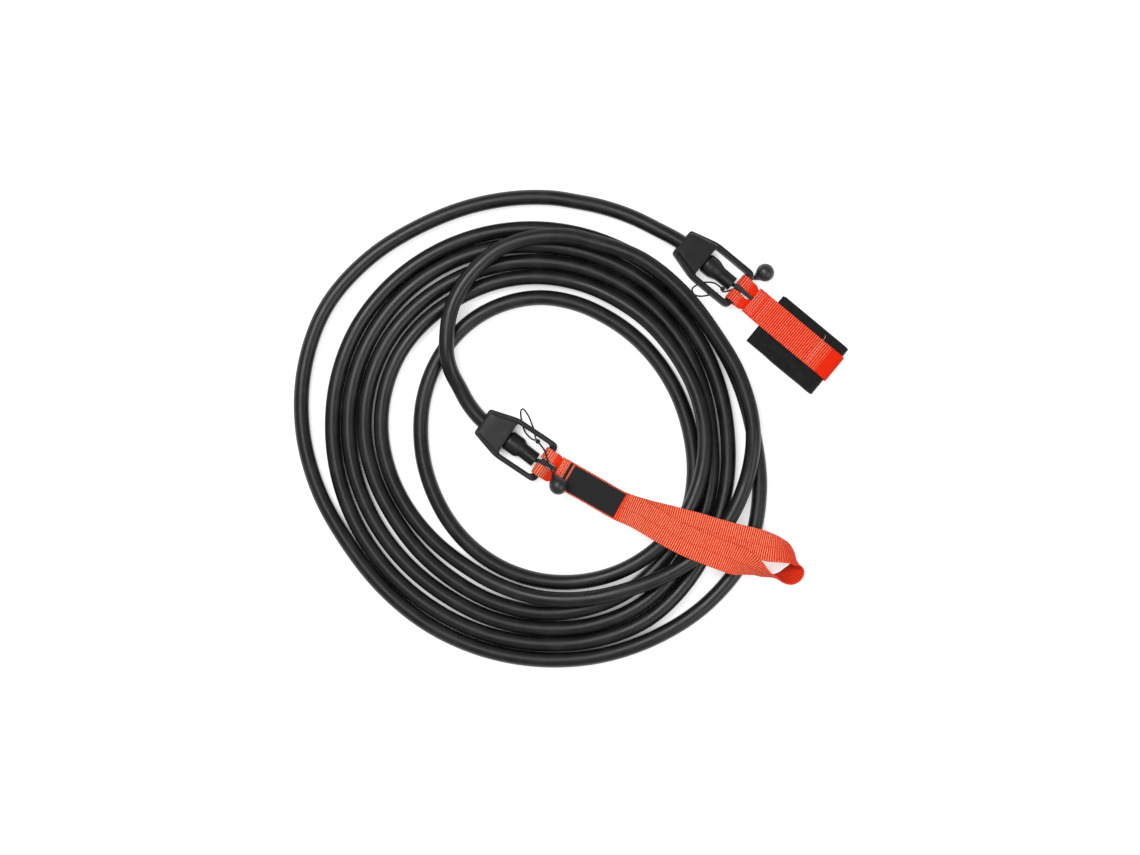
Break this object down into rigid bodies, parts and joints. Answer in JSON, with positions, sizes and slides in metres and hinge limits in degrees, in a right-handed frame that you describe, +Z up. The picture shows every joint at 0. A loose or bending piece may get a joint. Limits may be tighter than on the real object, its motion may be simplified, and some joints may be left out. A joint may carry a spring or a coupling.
{
  "type": "stationary swim tether",
  "caption": "Long rubber hose laid in a flat coil, with a moulded connector at each end that carries a webbing hand loop or a hook-and-loop ankle cuff.",
  "frame": {"origin": "on the floor under the middle of the box round the two end fittings", "axes": "+Z up from the floor it lies on; +X along the longer side of the box round the end fittings, towards the ankle cuff"},
  "size_m": [0.4615, 0.3998, 0.0338],
  "materials": {
    "rubber": "matte black rubber",
    "moulded_plastic": "satin black moulded plastic",
    "plug_plastic": "dark moulded plastic, hidden in the hose",
    "cord": "black braided cord",
    "webbing": "bright red-orange woven webbing",
    "label": "black woven label, bare",
    "thread": "orange sewing thread",
    "tape": "black hook-and-loop tape"
  },
  "bodies": {
    "hose": {"hose_coil": "rubber", "hose_lead": "rubber", "hose_tail": "rubber", "safety_cord": "cord", "hose_end_a": "rubber", "hose_end_b": "rubber", "plug_a": "plug_plastic", "plug_b": "plug_plastic"},
    "connector_a": {"connector_a": "moulded_plastic", "toggle_loop_a": "cord"},
    "hand_strap": {"neck_webbing": "webbing", "hand_loop": "webbing", "label": "label", "stitching_a": "thread", "toggle_ball_a": "moulded_plastic", "toggle_leash_a": "cord", "safety_cord_end_a": "cord"},
    "connector_b": {"connector_b": "moulded_plastic", "toggle_cord_b": "cord", "toggle_ball_b": "moulded_plastic"},
    "ankle_cuff": {"cuff_webbing": "webbing", "cuff_band": "tape", "hook_patch": "tape", "stitching_b_inner": "thread", "stitching_b_outer": "thread", "safety_cord_end_b": "cord"},
    "cuff_flap": {"cuff_flap": "tape"}
  },
  "joints": [
    {"name": "connector_a_swivel", "type": "hinge", "parent": "hose", "child": "connector_a", "pos_m": [-0.1496, -0.01105, 0.009], "axis": [0.832, -0.5548, 0], "range_deg": [0, 30]},
    {"name": "hand_strap_lift", "type": "hinge", "parent": "connector_a", "child": "hand_strap", "pos_m": [-0.09802, -0.04545, 0.009], "axis": [-0.5548, -0.832, 0], "range_deg": [0, 85]},
    {"name": "connector_b_swivel", "type": "hinge", "parent": "hose", "child": "connector_b", "pos_m": [0.01625, 0.1379, 0.01136], "axis": [0.7694, -0.6388, 0], "range_deg": [-90, 30]},
    {"name": "ankle_cuff_lift", "type": "hinge", "parent": "connector_b", "child": "ankle_cuff", "pos_m": [0.06395, 0.0983, 0.01136], "axis": [-0.6291, -0.7577, 0.1736], "range_deg": [0, 100]},
    {"name": "cuff_flap_open", "type": "hinge", "parent": "ankle_cuff", "child": "cuff_flap", "pos_m": [0.13372, 0.03517, 0.0022], "axis": [-0.6388, -0.7694, 0], "range_deg": [0, 95]}
  ]
}
